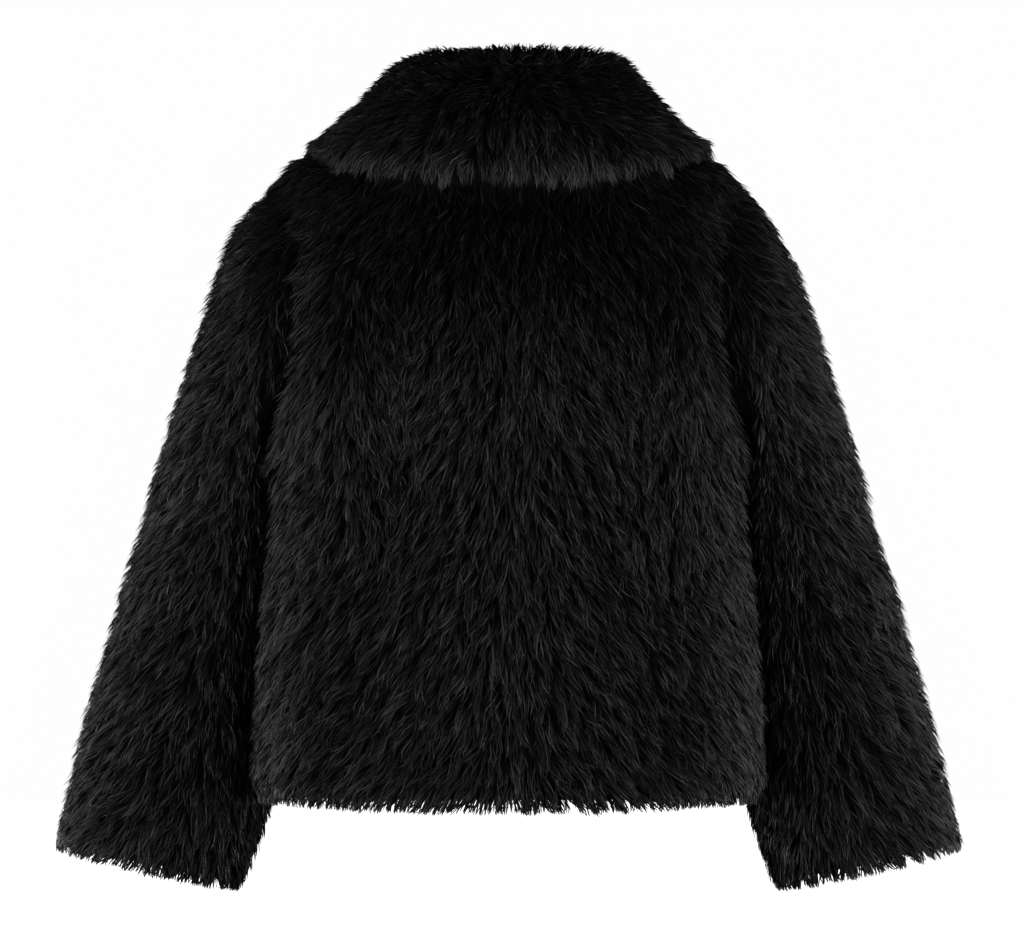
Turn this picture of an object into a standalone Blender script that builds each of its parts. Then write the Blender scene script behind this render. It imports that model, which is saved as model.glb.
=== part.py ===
"""A cropped faux fur jacket, filled out as if worn, hollow, with a big fold-over collar.

Metres, +Z up. The wearer faces -Y and the wearer's left is +X. The origin is the centre of
the neck base, where the jacket is held up. Every panel is one closed wall: backing cloth
plus its pile of fur, so the outer face lies at the mean of the hair tips.
"""
from collections import namedtuple

import bmesh
import bpy
import numpy as np

# ---- walls and gaps -------------------------------------------------------------------
SEAM = 0.0003            # gap between two sewn pieces
WALL = 0.020             # backing cloth and pile together
PRESSED = 0.3            # share of a sleeve's pile pressed flat where it faces the body
COLLAR_LIFT = 0.0030     # gap between the collar's underside and the shoulders
ARM_CLEARANCE = 0.0025   # least gap between a sleeve and the side of the body
HEM_ROUND = 0.012        # radius of the furry roll along the hem and the cuffs
FRONT_ROUND = 0.008      # how far the fur rounds away at the centre front edges

# ---- body: rings from the hem up to the neckline ---------------------------------------
# Each ring passes through the side seam, centre back and centre front; "square" is the
# power of its superellipse, 2 for an ellipse and more for a boxier ring.
Ring = namedtuple("Ring", "place side_x side_z back_y back_z front_y front_z square")
BODY = (
    Ring("hem", 0.228, -0.608, 0.151, -0.607, 0.154, -0.607, 2.5),
    Ring("high hip", 0.225, -0.520, 0.151, -0.520, 0.157, -0.520, 2.5),
    Ring("waist", 0.218, -0.410, 0.151, -0.405, 0.158, -0.405, 2.5),
    Ring("underarm", 0.209, -0.292, 0.156, -0.280, 0.155, -0.292, 2.5),
    Ring("armhole", 0.204, -0.170, 0.152, -0.155, 0.138, -0.205, 2.5),
    Ring("shoulder tip", 0.205, -0.049, 0.120, -0.063, 0.105, -0.136, 2.4),
    Ring("yoke", 0.150, -0.021, 0.101, -0.031, 0.087, -0.104, 2.2),
    Ring("neckline", 0.090, 0.009, 0.084, 0.000, 0.068, -0.070, 2.0),
)
UNDERARM, SHOULDER, NECK = 3, 5, 7       # rows of BODY where the panels turn a corner
ARMHOLE_ROW = (UNDERARM + SHOULDER) / 2
ARMHOLE_HALF_DEPTH = 0.095               # half of the armhole, front to back

# ---- sleeve: rings from the shoulder down to the cuff ----------------------------------
# "outer" and "inner" are the ends of a ring seen from behind; the first ring is the armhole.
Cut = namedtuple("Cut", "place outer_x outer_z inner_x inner_z centre_y half_y")
SLEEVE = (
    Cut("cap", 0.2285, -0.068, 0.212, -0.303, -0.003, 0.098),
    Cut("head", 0.2480, -0.100, 0.210, -0.316, -0.009, 0.100),
    Cut("upper arm", 0.2710, -0.158, 0.205, -0.338, -0.021, 0.100),
    Cut("biceps", 0.3005, -0.248, 0.200, -0.380, -0.038, 0.097),
    Cut("elbow", 0.3322, -0.347, 0.198, -0.435, -0.055, 0.090),
    Cut("forearm", 0.3612, -0.449, 0.200, -0.510, -0.068, 0.083),
    Cut("wrist", 0.3910, -0.552, 0.2140, -0.598, -0.082, 0.077),
    Cut("cuff", 0.4155, -0.655, 0.2450, -0.692, -0.090, 0.074),
)

# ---- collar ----------------------------------------------------------------------------
# "turn" is the angle from centre back in degrees; "rise" is the height of the fold above
# the neckline; "reach" is the row of BODY that the loose edge comes down to; "thick_..."
# are the thicknesses of the fall near the fold, at its middle and at its loose edge; "seam"
# is the gap over the neckline, where facets that cross a curve take up part of it.
Fall = namedtuple("Fall", "turn rise reach thick_fold thick_middle thick_edge seam")
COLLAR = (
    Fall(0, 0.066, 5.02, 0.046, 0.034, 0.023, 0.0009),
    Fall(45, 0.060, 5.14, 0.042, 0.028, 0.016, 0.0009),
    Fall(90, 0.048, 5.48, 0.040, 0.023, 0.008, 0.0011),
    Fall(135, 0.038, 4.98, 0.038, 0.027, 0.018, 0.0020),
    Fall(180, 0.030, 4.25, 0.036, 0.028, 0.020, 0.0024),
)
COLLAR_END = np.radians(176)             # the stand ends here, just short of centre front
COLLAR_SPREAD = np.radians(25)           # the loose edge ends this much sooner
FOLD_WIDTH = 0.044                       # of the roll where stand turns into fall
# The outline of a section: the stand and fold, the fall out to its loose edge, and the
# underside back to the neck seam. "share" is the way across the fold or down the fall.
Spot = namedtuple("Spot", "kind share lift")
COLLAR_OUTLINE = (
    Spot("stand", 0.00, 0.00), Spot("stand", 0.00, 0.40), Spot("stand", 0.00, 0.74),
    Spot("stand", 0.10, 0.93), Spot("stand", 0.34, 1.00), Spot("stand", 0.62, 0.96),
    Spot("stand", 0.86, 0.84),
    Spot("fall", 0.22, 0.00), Spot("fall", 0.38, 0.00), Spot("fall", 0.54, 0.00),
    Spot("fall", 0.70, 0.00), Spot("fall", 0.85, 0.00), Spot("fall", 0.96, -0.18),
    Spot("fall", 1.01, -0.55),
    Spot("under", 0.96, 0.00), Spot("under", 0.78, 0.00), Spot("under", 0.58, 0.00),
    Spot("under", 0.38, 0.00), Spot("under", 0.18, 0.00), Spot("under", 0.00, 0.00),
)

# ---- soft folds: troughs pressed into the outer face, from one end to the other ---------
Fold = namedtuple("Fold", "x0 z0 x1 z1 depth width")
BACK_FOLDS = (
    Fold(0.101, -0.300, 0.148, -0.560, 0.009, 0.030),
    Fold(-0.082, -0.310, -0.136, -0.540, 0.008, 0.028),
    Fold(0.010, -0.175, 0.020, -0.330, 0.004, 0.026),
    Fold(0.060, -0.090, 0.150, -0.180, 0.005, 0.028),
    Fold(-0.070, -0.085, -0.150, -0.200, 0.004, 0.026),
)
FRONT_FOLDS = (
    Fold(0.092, -0.320, 0.122, -0.575, 0.008, 0.030),
    Fold(-0.104, -0.300, -0.120, -0.520, 0.009, 0.032),
    Fold(0.150, -0.200, 0.085, -0.270, 0.005, 0.026),
    Fold(-0.150, -0.215, -0.095, -0.260, 0.004, 0.024),
)
ARM_FOLDS = (                            # x is from the sleeve's middle line, outwards
    Fold(-0.030, -0.300, 0.050, -0.360, 0.006, 0.026),
    Fold(-0.030, -0.430, 0.045, -0.470, 0.005, 0.024),
)

# ---- mesh fineness ---------------------------------------------------------------------
SKIRT_ROWS = 8           # between the hem's roll and the underarm
ARMHOLE_ROWS = 10        # between the underarm and the shoulder tip
YOKE_ROWS = 4            # between the shoulder tip and the neckline
HALF_COLUMNS = 11        # from a side seam to centre back or centre front
SLEEVE_ROWS = 17
COLLAR_COLUMNS = 40
ROLL_STEPS = (0.0, 0.003, 0.008)         # rows or columns inside a rounded edge
SOFTENING = 5            # times a wall's direction is evened out along the rows

FUR_COLOUR = (0.0105, 0.0098, 0.0102, 1.0)


def smooth(values, at):
    """Reads a smooth curve through values at the row coordinates at."""
    values = np.asarray(values, float)
    at = np.clip(np.asarray(at, float), 0, len(values) - 1)
    low = np.minimum(at.astype(int), len(values) - 2)
    slope = np.gradient(values, axis=0)
    t = (at - low).reshape(at.shape + (1,) * (values.ndim - 1))
    return (
        (2 * t**3 - 3 * t**2 + 1) * values[low]
        + (t**3 - 2 * t**2 + t) * slope[low]
        + (3 * t**2 - 2 * t**3) * values[low + 1]
        + (t**3 - t**2) * slope[low + 1]
    )


def column(table, name, at):
    """One named column of a table, read smoothly between its rows."""
    return smooth([getattr(row, name) for row in table], at)


def unit(vectors):
    return vectors / np.maximum(np.linalg.norm(vectors, axis=-1, keepdims=True), 1e-9)


# ---- surfaces --------------------------------------------------------------------------
def body(angle, row):
    """A point of the body's outer face. angle is 0 at the wearer's left and pi/2 behind."""
    cosine, sine = np.cos(angle), np.sin(angle)
    behind = sine >= 0
    power = 2 / column(BODY, "square", row)
    side_z = column(BODY, "side_z", row)
    end_z = np.where(behind, column(BODY, "back_z", row), column(BODY, "front_z", row))
    end_y = np.where(behind, column(BODY, "back_y", row), -column(BODY, "front_y", row))
    return np.stack(
        (
            column(BODY, "side_x", row) * np.sign(cosine) * np.abs(cosine) ** power,
            end_y * np.abs(sine) ** power,
            side_z + (end_z - side_z) * sine**2,
        ),
        axis=-1,
    )


def armhole_angle(row, behind):
    """The body angle where a panel stops: 0 at the side and shoulder seams, more between."""
    half = ARMHOLE_HALF_DEPTH * np.sqrt(np.clip(1 - (row - ARMHOLE_ROW) ** 2, 0, 1))
    depth = column(BODY, "back_y" if behind else "front_y", row)
    return np.arcsin(np.clip(half / depth, 0, 1) ** (column(BODY, "square", row) / 2))


def armhole(turn):
    """The left armhole's edge on the outer face. turn is 0 at the shoulder tip, pi/2 behind."""
    row = ARMHOLE_ROW + np.cos(turn)
    behind, front = armhole_angle(row, True), -armhole_angle(row, False)
    return body(np.where(np.sin(turn) >= 0, behind, front), row)


def from_armhole(points):
    """The direction out from the armhole's middle, in its own plane."""
    top, bottom = BODY[SHOULDER].side_z, BODY[UNDERARM].side_z
    y = points[..., 1] / ARMHOLE_HALF_DEPTH**2
    z = (points[..., 2] - (top + bottom) / 2) / ((top - bottom) / 2) ** 2
    return unit(np.stack((np.zeros_like(y), y, z), axis=-1))


def facing(points, outward):
    """Normals of a grid of points, on the side that outward points to."""
    normals = unit(np.cross(np.gradient(points, axis=0), np.gradient(points, axis=1)))
    return normals * np.sign((normals * outward).sum(-1).mean())


def fold_depth(x, z, folds):
    """How far the folds press in at x, z, seen from straight behind or in front."""
    pressed = np.zeros_like(x)
    for fold in folds:
        along_x, along_z = fold.x1 - fold.x0, fold.z1 - fold.z0
        length = np.hypot(along_x, along_z)
        t = ((x - fold.x0) * along_x + (z - fold.z0) * along_z) / length**2
        away = ((x - fold.x0) * along_z - (z - fold.z0) * along_x) / length
        beyond = np.maximum(np.abs(t - 0.5) - 0.5, 0) * length
        pressed += fold.depth * np.exp(-(away**2 + beyond**2) / fold.width**2)
    return pressed


def rolled(distance, radius):
    """How far a rounded edge has dropped at a distance from its end."""
    return radius * (1 - np.sqrt(1 - np.clip(1 - distance / radius, 0, 0.97) ** 2))


def panel_rows():
    """Row coordinates of a body panel, close together at the hem and round the armhole."""
    height = BODY[1].side_z - BODY[0].side_z
    hem = np.array(ROLL_STEPS) / height
    skirt = np.linspace(HEM_ROUND * 1.3 / height, UNDERARM, SKIRT_ROWS, endpoint=False)
    turn = np.linspace(np.pi, 0, ARMHOLE_ROWS + 1)
    yoke = np.linspace(SHOULDER, NECK, YOKE_ROWS + 1)[1:]
    return np.concatenate((hem, skirt, ARMHOLE_ROW + np.cos(turn), yoke))


def panel(across, behind, mirrored=False):
    """The outer and inner faces of a body panel as two grids of points, hem first.

    across runs from 0 at the left seam to 1 at the centre, and on to 2 at the right seam.
    """
    row = panel_rows()[:, None]
    start = armhole_angle(row, behind)
    angle = start + (np.pi / 2 - start) * across
    angle = np.where(across > 1, np.pi - (start + (np.pi / 2 - start) * (2 - across)), angle)
    outer = body(angle if behind else -angle, row)
    outward = facing(outer, outer * (1, 1, 0))
    seams = [i for i, a in enumerate(across) if a in (0, 2)]
    for i in seams:                      # two panels share the plane y = 0 at a side seam
        outward[:, i, 1] = 0
    edges = [] if behind else [len(across) - 1]
    for i in edges:                      # the fronts share the plane x = 0
        outward[:, i, 0] = 0
    outward = unit(outward)

    height = (row - row[0]) * (BODY[1].side_z - BODY[0].side_z)
    thin = rolled(height, HEM_ROUND) + 0 * across
    if not behind:
        thin = np.maximum(thin, rolled(np.abs(outer[..., 0]), FRONT_ROUND))
    radial = from_armhole(outer)
    in_armhole = (row[:, 0] >= UNDERARM - 1e-6) & (row[:, 0] <= SHOULDER + 1e-6)
    edge = outer[in_armhole][:, seams].reshape(-1, 3)
    away = np.linalg.norm(outer[:, :, None] - edge, axis=-1).min(axis=-1)
    near = np.exp(-((away / 0.014) ** 2))
    settled = 1 - np.exp(-((away / 0.03) ** 2))

    folds = BACK_FOLDS if behind else FRONT_FOLDS
    side = -1 if mirrored else 1
    pressed = settled * fold_depth(side * outer[..., 0], outer[..., 2], folds)
    outer = outer - outward * (pressed + thin)[..., None]

    # The wall stands square to the face, but level at the neck and edgewise at the armhole.
    through = outward.copy()
    for _ in range(SOFTENING):
        through[1:-1] = (through[:-2] + 2 * through[1:-1] + through[2:]) / 4
    level = unit(outer * (1, 1, 0))
    neck = np.clip((row - NECK + 0.8) / 0.8, 0, 1)[..., None] ** 2
    through = unit(through) * (1 - neck) + level * neck
    through = unit(through * (1 - near[..., None]) + radial * near[..., None])
    depth = WALL - pressed * 0.3 - thin * 1.6
    inner = outer - through * depth[..., None]

    for i in seams:                      # half a seam's gap, along y or along x
        gap = np.where(np.abs(outer[:, i, 1]) < 1e-6, SEAM / 2, 0) * (1 if behind else -1)
        for grid in (outer, inner):
            grid[:, i, 1] += gap
            grid[in_armhole, i, 0] -= SEAM / 2 * np.sign(1 - across[i])
    for i in edges:
        outer[:, i, 0] += SEAM
        inner[:, i, 0] = outer[:, i, 0]
    if mirrored:
        outer, inner = outer * (-1, 1, 1), inner * (-1, 1, 1)
    return outer, inner


def beside_body(points):
    """Moves sleeve points out to where they just clear the side of the body."""
    rows = np.linspace(0, UNDERARM, 60)
    row = np.interp(points[..., 2], column(BODY, "side_z", rows), rows)
    depth = np.where(
        points[..., 1] >= 0, column(BODY, "back_y", row), column(BODY, "front_y", row)
    )
    power = column(BODY, "square", row)
    inside = np.clip(1 - np.abs(points[..., 1] / depth) ** power, 0, 1)
    side = column(BODY, "side_x", row) * inside ** (1 / power) + ARM_CLEARANCE
    moved = points.copy()
    below = points[..., 2] < BODY[UNDERARM].side_z
    moved[..., 0] = np.where(below, np.maximum(points[..., 0], side), points[..., 0])
    return moved


def sleeve(turns, rows, folds_side):
    """The outer and inner faces of the left sleeve, as grids: rows down, turns round."""
    rings = [armhole(turns) + (SEAM / 2, 0, 0)]
    for cut in SLEEVE:
        outer = np.array((cut.outer_x, cut.centre_y, cut.outer_z))
        inner = np.array((cut.inner_x, cut.centre_y, cut.inner_z))
        across = (outer - inner) / 2 * np.cos(turns)[:, None]
        deep = np.array((0, cut.half_y, 0)) * np.sin(turns)[:, None]
        rings.append(beside_body((outer + inner) / 2 + across + deep))
    rings = np.array(rings)
    outer = smooth(rings, rows)
    outer[1:] = beside_body(outer[1:])

    middle = outer.mean(axis=1, keepdims=True)
    closed = np.concatenate((outer[:, -1:], outer, outer[:, :1]), axis=1)
    outward = facing(closed, closed - middle)[:, 1:-1]
    length = np.linalg.norm(np.diff(outer, axis=0), axis=-1).mean(axis=1)
    from_cuff = np.concatenate((np.cumsum(length[::-1])[::-1], [0]))[:, None]
    thin = rolled(from_cuff, HEM_ROUND) + 0 * turns
    pressed = fold_depth(outer[..., 0] - middle[..., 0], outer[..., 2], ARM_FOLDS)
    pressed *= np.where(np.sin(turns + folds_side) > 0, 1.0, 0.6)
    near = np.exp(-((np.linalg.norm(outer - outer[:1], axis=-1) / 0.03) ** 2))
    pressed *= 1 - near
    outer = outer - outward * (pressed + thin)[..., None]

    # The hollow is set in from the outer face within the plane of each ring.
    quarter = len(turns) // 4
    arms = outer[:, [0, quarter]] - middle
    axis = np.cross(arms[:, 0], arms[:, 1])[:, None]
    inward = unit(np.cross(np.gradient(closed, axis=1)[:, 1:-1], axis))
    inward *= -np.sign((inward * (outer - middle)).sum(-1))[..., None]
    start = np.clip(1 - np.asarray(rows) / 1.5, 0, 1)[:, None, None] ** 2
    inward = unit(inward * (1 - start) - from_armhole(armhole(turns)) * start)
    slant = np.clip(-(inward * outward).sum(-1), 0.65, 1)
    slant = slant * (1 - start[..., 0]) + start[..., 0]
    depth = (WALL - pressed * 0.3 - thin * 1.6) / slant
    depth *= 1 - PRESSED * (1 - np.cos(turns)) / 2 * (1 - start[..., 0])
    return outer, outer + inward * depth[..., None]


def shoulder(angle, row, lift):
    """A point above the body's outer face by lift, square to it."""
    step = 0.02
    down = body(angle, row - step) - body(angle, row + step)
    along = body(angle + step, row) - body(angle - step, row)
    normal = unit(np.cross(along, down))
    base = body(angle, row)
    normal *= np.sign((normal * (base * (1, 1, 0) + (0, 0, 0.1))).sum(-1))[..., None]
    return base + normal * lift[..., None]


def fall_thickness(at, share):
    """The fall's thickness at a share of the way from the fold to its loose edge."""
    names = ("thick_fold", "thick_middle", "thick_edge")
    fold, middle, edge = (column(COLLAR, name, at) for name in names)
    if share < 0.5:
        return fold + (middle - fold) * share * 2
    return middle + (edge - middle) * (min(share, 1) * 2 - 1)


def collar_sections(columns):
    """The collar's closed outline at each of its columns: a grid, columns by outline."""
    swing = np.linspace(-1, 1, columns)
    swing = np.sign(swing) * (1 - (1 - np.abs(swing)) ** 1.15)
    ending = np.clip((np.abs(swing) - 0.955) / 0.045, 0, 0.93)
    soft_end = np.sqrt(1 - ending**2)
    outline = []
    for kind, share, lift in COLLAR_OUTLINE:
        on_shoulder = kind != "stand"
        turn = swing * (COLLAR_END - COLLAR_SPREAD * (share if on_shoulder else 0))
        angle = np.pi / 2 - turn
        at = np.abs(np.degrees(turn)) / 45
        seam = column(COLLAR, "seam", at)
        if on_shoulder:
            row = NECK + (column(COLLAR, "reach", at) - NECK) * share
            gap = seam + (COLLAR_LIFT - seam) * min(share / 0.3, 1)
            thick = fall_thickness(at, share) * (1 + lift) * soft_end
            outline.append(shoulder(angle, row, gap + thick * (kind == "fall")))
        else:
            neck = body(angle, np.full_like(turn, NECK))
            out = (FOLD_WIDTH * share * (0.5 + 0.5 * soft_end) - WALL)[..., None]
            point = neck + unit(neck * (1, 1, 0)) * out
            rise = column(COLLAR, "rise", at) * lift * (0.6 + 0.4 * soft_end)
            point[..., 2] += seam + rise
            outline.append(point)
    return np.array(outline).transpose(1, 0, 2)


# ---- solids ----------------------------------------------------------------------------
def fur_material(name):
    material = bpy.data.materials.new(name)
    material.use_nodes = True
    shader = material.node_tree.nodes["Principled BSDF"]
    shader.inputs["Base Color"].default_value = FUR_COLOUR
    shader.inputs["Roughness"].default_value = 0.7
    shader.inputs["Metallic"].default_value = 0.0
    return material


def make_object(name, vertices, faces):
    mesh = bpy.data.meshes.new(name)
    mesh.from_pydata([tuple(v) for v in vertices], [], faces)
    work = bmesh.new()
    work.from_mesh(mesh)
    bmesh.ops.recalc_face_normals(work, faces=work.faces)
    work.to_mesh(mesh)
    work.free()
    mesh.materials.append(fur_material(name + "_fur"))
    mesh.shade_smooth()
    made = bpy.data.objects.new(name, mesh)
    bpy.context.scene.collection.objects.link(made)
    return made


def wall_object(name, outer, inner, ring=False):
    """Joins two grids into one closed wall. A ring's columns close up on themselves."""
    rows, columns = outer.shape[:2]
    count = rows * columns
    vertices = np.concatenate((outer.reshape(-1, 3), inner.reshape(-1, 3)))

    def at(r, c, layer):
        return layer * count + r * columns + c % columns

    faces = []
    for r in range(rows - 1):
        for c in range(columns if ring else columns - 1):
            for layer in (0, 1):
                quad = [at(r, c, layer), at(r, c + 1, layer),
                        at(r + 1, c + 1, layer), at(r + 1, c, layer)]
                faces.append(quad if layer == 0 else quad[::-1])

    def rim(a, b, turned):
        """The edge of the wall from a to b, split along its shorter diagonal."""
        reach_a = np.linalg.norm(vertices[a] - vertices[b + count])
        reach_b = np.linalg.norm(vertices[b] - vertices[a + count])
        tie = abs(reach_a - reach_b) < 1e-6
        if (vertices[a][2] < vertices[b][2]) if tie else (reach_a < reach_b):
            split = [a, b, b + count], [a, b + count, a + count]
        else:
            split = [a, b, a + count], [b, b + count, a + count]
        faces.extend(face[::-1] if turned else face for face in split)

    for r in (0, rows - 1):
        for c in range(columns if ring else columns - 1):
            rim(at(r, c, 0), at(r, c + 1, 0), r == 0)
    if not ring:
        for c in (0, columns - 1):
            for r in range(rows - 1):
                rim(at(r, c, 0), at(r + 1, c, 0), c > 0)
    return make_object(name, vertices, faces)


def swept_object(name, sections):
    """Joins closed outlines, one beside the next, into one body with capped ends."""
    columns, points = sections.shape[:2]
    vertices = sections.reshape(-1, 3)
    faces = []
    for c in range(columns - 1):
        for p in range(points):
            q = (p + 1) % points
            faces.append([c * points + p, c * points + q,
                          (c + 1) * points + q, (c + 1) * points + p])
    for start in (0, (columns - 1) * points):   # an end is zipped up from its top and its underside
        top, under = start, start + points - 1
        while under - top > 1:
            across_top = np.linalg.norm(vertices[top + 1] - vertices[under])
            across_under = np.linalg.norm(vertices[under - 1] - vertices[top])
            if across_top <= across_under:
                faces.append([top, top + 1, under])
                top += 1
            else:
                faces.append([top, under - 1, under])
                under -= 1
    return make_object(name, vertices, faces)


# ---- the jacket ------------------------------------------------------------------------
def front_columns():
    """Shares from the side seam to centre front, with extra ones in the rounded edge."""
    even = np.linspace(0, 1, HALF_COLUMNS + 1)[:-1]
    return np.concatenate((even, (0.965, 0.985, 1.0)))


def build():
    for old in list(bpy.data.objects):
        bpy.data.objects.remove(old)

    back = np.linspace(0, 2, 2 * HALF_COLUMNS + 1)
    wall_object("back", *panel(back, behind=True))
    wall_object("front_left", *panel(front_columns(), behind=False))
    wall_object("front_right", *panel(front_columns(), behind=False, mirrored=True))

    turns = np.linspace(0, 2 * np.pi, 2 * ARMHOLE_ROWS, endpoint=False)
    roll = len(SLEEVE) - np.array(ROLL_STEPS[::-1]) / 0.09
    rows = np.concatenate(
        (np.linspace(0, 2, 5)[:-1], np.linspace(2, roll[0] - 0.12, SLEEVE_ROWS - 7), roll)
    )
    for name, mirror, side in (("sleeve_left", 1, 0.0), ("sleeve_right", -1, np.pi / 3)):
        outer, inner = sleeve(turns, rows, side)
        wall_object(name, outer * (mirror, 1, 1), inner * (mirror, 1, 1), ring=True)

    swept_object("collar", collar_sections(COLLAR_COLUMNS))


build()
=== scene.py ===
"""A cropped faux fur jacket: backing cloth, a dense short pile and the long locks over it.

Each panel is drawn from the same rings and folds as its solid. Metres, +Z up; the wearer
faces -Y, and the wearer's left is +X.
"""
from collections import namedtuple

import bpy
import numpy as np
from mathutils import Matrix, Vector
from mathutils.bvhtree import BVHTree


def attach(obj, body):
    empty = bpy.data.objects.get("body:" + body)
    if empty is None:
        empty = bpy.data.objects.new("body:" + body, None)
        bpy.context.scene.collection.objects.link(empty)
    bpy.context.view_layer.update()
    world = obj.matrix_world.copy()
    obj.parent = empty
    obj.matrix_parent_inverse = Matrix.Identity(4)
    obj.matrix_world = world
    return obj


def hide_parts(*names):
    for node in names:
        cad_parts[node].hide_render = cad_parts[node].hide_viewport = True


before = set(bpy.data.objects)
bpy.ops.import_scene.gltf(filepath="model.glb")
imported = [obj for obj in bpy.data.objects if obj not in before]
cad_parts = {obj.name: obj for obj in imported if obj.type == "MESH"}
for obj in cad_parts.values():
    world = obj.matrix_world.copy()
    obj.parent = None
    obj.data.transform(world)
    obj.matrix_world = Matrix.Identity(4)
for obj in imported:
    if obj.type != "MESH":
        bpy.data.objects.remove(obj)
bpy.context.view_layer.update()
rng = np.random.default_rng(20)

# ---- the panels, as the solids have them ------------------------------------------------
SEAM = 0.0003
WALL = 0.020
PRESSED = 0.3
COLLAR_LIFT = 0.0030
ARM_CLEARANCE = 0.0025

Ring = namedtuple("Ring", "place side_x side_z back_y back_z front_y front_z square")
BODY = (
    Ring("hem", 0.228, -0.608, 0.151, -0.607, 0.154, -0.607, 2.5),
    Ring("high hip", 0.225, -0.520, 0.151, -0.520, 0.157, -0.520, 2.5),
    Ring("waist", 0.218, -0.410, 0.151, -0.405, 0.158, -0.405, 2.5),
    Ring("underarm", 0.209, -0.292, 0.156, -0.280, 0.155, -0.292, 2.5),
    Ring("armhole", 0.204, -0.170, 0.152, -0.155, 0.138, -0.205, 2.5),
    Ring("shoulder tip", 0.205, -0.049, 0.120, -0.063, 0.105, -0.136, 2.4),
    Ring("yoke", 0.150, -0.021, 0.101, -0.031, 0.087, -0.104, 2.2),
    Ring("neckline", 0.090, 0.009, 0.084, 0.000, 0.068, -0.070, 2.0),
)
UNDERARM, SHOULDER, NECK = 3, 5, 7
ARMHOLE_ROW = (UNDERARM + SHOULDER) / 2
ARMHOLE_HALF_DEPTH = 0.095

Cut = namedtuple("Cut", "place outer_x outer_z inner_x inner_z centre_y half_y")
SLEEVE = (
    Cut("cap", 0.2285, -0.068, 0.212, -0.303, -0.003, 0.098),
    Cut("head", 0.2480, -0.100, 0.210, -0.316, -0.009, 0.100),
    Cut("upper arm", 0.2710, -0.158, 0.205, -0.338, -0.021, 0.100),
    Cut("biceps", 0.3005, -0.248, 0.200, -0.380, -0.038, 0.097),
    Cut("elbow", 0.3322, -0.347, 0.198, -0.435, -0.055, 0.090),
    Cut("forearm", 0.3612, -0.449, 0.200, -0.510, -0.068, 0.083),
    Cut("wrist", 0.3910, -0.552, 0.2140, -0.598, -0.082, 0.077),
    Cut("cuff", 0.4155, -0.655, 0.2450, -0.692, -0.090, 0.074),
)

Fall = namedtuple("Fall", "turn rise reach thick_fold thick_middle thick_edge")
COLLAR = (
    Fall(0, 0.066, 5.02, 0.046, 0.034, 0.023),
    Fall(45, 0.060, 5.14, 0.042, 0.028, 0.016),
    Fall(90, 0.048, 5.48, 0.040, 0.023, 0.008),
    Fall(135, 0.038, 4.98, 0.038, 0.027, 0.018),
    Fall(180, 0.030, 4.25, 0.036, 0.028, 0.020),
)
COLLAR_END = np.radians(176)
COLLAR_SPREAD = np.radians(25)
FOLD_WIDTH = 0.044

# The rows from the fold down inside the neck: shares of the fold's width and of its rise.
Stand = namedtuple("Stand", "share lift")
STAND = (
    Stand(0.86, 0.84),
    Stand(0.74, 0.91),
    Stand(0.62, 0.96),
    Stand(0.48, 0.99),
    Stand(0.34, 1.00),
    Stand(0.21, 0.98),
    Stand(0.10, 0.93),
    Stand(0.03, 0.85),
    Stand(0.00, 0.74),
    Stand(0.00, 0.57),
    Stand(0.00, 0.40),
    Stand(0.00, 0.20),
    Stand(0.00, 0.00),
)

Fold = namedtuple("Fold", "x0 z0 x1 z1 depth width")
BACK_FOLDS = (
    Fold(0.101, -0.300, 0.148, -0.560, 0.009, 0.030),
    Fold(-0.082, -0.310, -0.136, -0.540, 0.008, 0.028),
    Fold(0.010, -0.175, 0.020, -0.330, 0.004, 0.026),
    Fold(0.060, -0.090, 0.150, -0.180, 0.005, 0.028),
    Fold(-0.070, -0.085, -0.150, -0.200, 0.004, 0.026),
)
FRONT_FOLDS = (
    Fold(0.092, -0.320, 0.122, -0.575, 0.008, 0.030),
    Fold(-0.104, -0.300, -0.120, -0.520, 0.009, 0.032),
    Fold(0.150, -0.200, 0.085, -0.270, 0.005, 0.026),
    Fold(-0.150, -0.215, -0.095, -0.260, 0.004, 0.024),
)
ARM_FOLDS = (
    Fold(-0.030, -0.300, 0.050, -0.360, 0.006, 0.026),
    Fold(-0.030, -0.430, 0.045, -0.470, 0.005, 0.024),
)

# How finely each panel is drawn.
SKIRT_ROWS, ARMHOLE_ROWS, YOKE_ROWS = 26, 23, 8
BACK_COLUMNS, FRONT_COLUMNS = 57, 29
SLEEVE_COLUMNS, CAP_ROWS, ARM_ROWS = 44, 12, 34
COLLAR_COLUMNS, FALL_ROWS = 121, 18

# ---- cloth and pile, as shares of the wall from the mean of the hair tips inwards --------
PILE_TOP = 0.50          # of the dense short pile, where the long locks start
PRESSED_PILE = 0.05      # the same between arm and body, where the fur is packed
COLLAR_PILE_TOP = 0.66
CLOTH_TOP = 0.89

# ---- how the long locks grow ---------------------------------------------------------------
LOCK_RUN = 0.026         # how far a lock runs along the face
COLLAR_RUN = 0.030
LOCK_WIDTH = 0.00145
TUFT = 0.0085            # the spacing of the tufts that the locks gather in
COLLAR_TUFT = 0.0105
TUFT_SQUASH = 0.9        # heights count for less when they gather, so tufts run downwards
COLLAR_SQUASH = 0.22
FOLLOW = 0.7             # how far a lock's outer half settles on the faces that it crosses
PARTING = 0.006          # the hair parts this far to the wearer's right of the middle
EDGE_HAIR = 0.008        # the locks hang this far past the cloth at a hem, cuff or edge
FRINGE = 2.0             # how many more locks grow there, as a share
FRINGE_DEPTH = 0.020     # and how far up from the edge


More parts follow.
